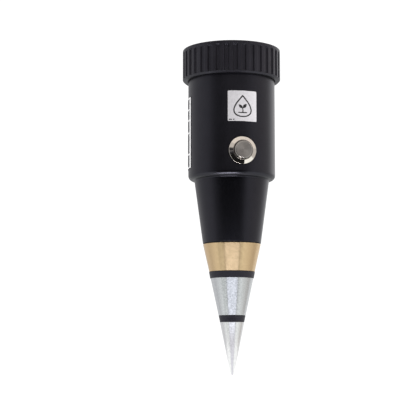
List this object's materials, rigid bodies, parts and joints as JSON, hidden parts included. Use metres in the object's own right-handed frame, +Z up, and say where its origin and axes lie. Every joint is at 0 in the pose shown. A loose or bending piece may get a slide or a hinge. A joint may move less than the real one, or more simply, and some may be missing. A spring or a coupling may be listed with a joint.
{
  "type": "soil moisture meter",
  "caption": "Hand-held analogue soil meter: dial under a ribbed collar, push button on a black barrel, tapered metal probe with insulated electrodes.",
  "frame": {"origin": "the tip of the probe, which is the bottom centre of the object", "axes": "+Z up along the probe to the dial, -Y towards the push button, which is also the lower edge of the dial"},
  "size_m": [0.049, 0.049, 0.1622],
  "materials": {
    "housing_plastic": "satin moulded black ABS",
    "collar_plastic": "satin moulded black ABS, slightly lighter than the housing",
    "insulator_plastic": "turned black acetal",
    "machined_aluminium": "fine turned and polished",
    "turned_brass": "fine turned, pale brass",
    "small_brass": "plain brass",
    "zinc_steel": "bright zinc plate",
    "chrome_bezel": "polished chrome plate",
    "button_steel": "brushed stainless steel",
    "spring_steel": "bright drawn wire",
    "clear_window": "clear moulded acrylic, polished",
    "black_rubber": "matt black rubber",
    "silver_label": "satin silver foil sticker with a black pictogram",
    "black_label": "black sticker with white lines",
    "dial_print": "satin printed aluminium plate",
    "dial_cover": "satin printed cover",
    "pointer_red": "satin red paint",
    "case_plastic": "moulded black phenolic",
    "magnet": "sintered magnet, nickel grey",
    "soft_iron": "zinc plated soft iron",
    "spacer_brass": "plain brass",
    "bare_aluminium": "stamped sheet",
    "copper_coil": "varnished copper wire",
    "balance_solder": "tinned wire",
    "phenolic_base": "brown phenolic",
    "sleeve_plastic": "natural nylon",
    "lead_black": "PVC insulation",
    "lead_red": "PVC insulation",
    "lead_yellow": "PVC insulation",
    "lead_blue": "PVC insulation",
    "resistor_body": "lacquered resistor"
  },
  "bodies": {
    "meter_body": {"housing": "housing_plastic", "ribbed_collar": "collar_plastic", "lens": "clear_window", "lens_gasket": "black_rubber", "symbol_label": "silver_label", "side_label": "black_label", "tip_electrode": "machined_aluminium", "lower_insulator_ring": "insulator_plastic", "aluminium_electrode": "machined_aluminium", "upper_insulator_ring": "insulator_plastic", "brass_electrode": "turned_brass", "base_gasket": "black_rubber", "insulating_sleeve": "sleeve_plastic", "tie_rod": "zinc_steel", "tie_washer": "zinc_steel", "tie_nut": "zinc_steel", "tip_solder_lug": "small_brass", "aluminium_solder_lug": "small_brass", "brass_solder_lug": "small_brass", "brass_lug_screw": "small_brass", "switch_bushing": "chrome_bezel", "switch_seal": "black_rubber", "switch_lock_washer": "zinc_steel", "switch_nut": "zinc_steel", "switch_base": "phenolic_base", "switch_terminals": "small_brass", "button_spring": "spring_steel", "meter_case": "case_plastic", "dial_plate": "dial_print", "dial_mask": "dial_cover", "mask_screws": "zinc_steel", "yoke_ring": "soft_iron", "core_magnet": "magnet", "core_spacers": "spacer_brass", "upper_bridge": "bare_aluminium", "lower_bridge": "bare_aluminium", "jewel_screws": "small_brass", "movement_spacers": "spacer_brass", "movement_screws": "zinc_steel", "zero_adjuster": "spacer_brass", "upper_hairspring": "spacer_brass", "lower_hairspring": "spacer_brass", "meter_studs": "small_brass", "stud_nuts": "small_brass", "meter_solder_tags": "small_brass", "calibration_resistor": "resistor_body", "lead_brass": "lead_yellow", "lead_aluminium": "lead_blue", "lead_tip": "lead_black", "lead_switch": "lead_red"},
    "push_button": {"button_cap": "button_steel", "button_plunger": "phenolic_base", "contact_disc": "small_brass"},
    "needle": {"pointer": "pointer_red", "balance_weights": "balance_solder", "coil_former": "bare_aluminium", "coil_winding": "copper_coil", "upper_pivot": "spring_steel", "lower_pivot": "spring_steel"}
  },
  "joints": [
    {"name": "button_press", "type": "slide", "parent": "meter_body", "child": "push_button", "axis": [0, 1, 0], "range_m": [0, 0.0015], "stiffness_N_per_m": 600, "springref_m": -0.002, "deforming": ["button_spring"]},
    {"name": "needle_sweep", "type": "hinge", "parent": "meter_body", "child": "needle", "pos_m": [0, -0.0094, 0.146], "axis": [0, 0, 1], "range_deg": [-84, 0], "stiffness_Nm_per_rad": 0.00001, "deforming": ["upper_hairspring", "lower_hairspring"]}
  ]
}
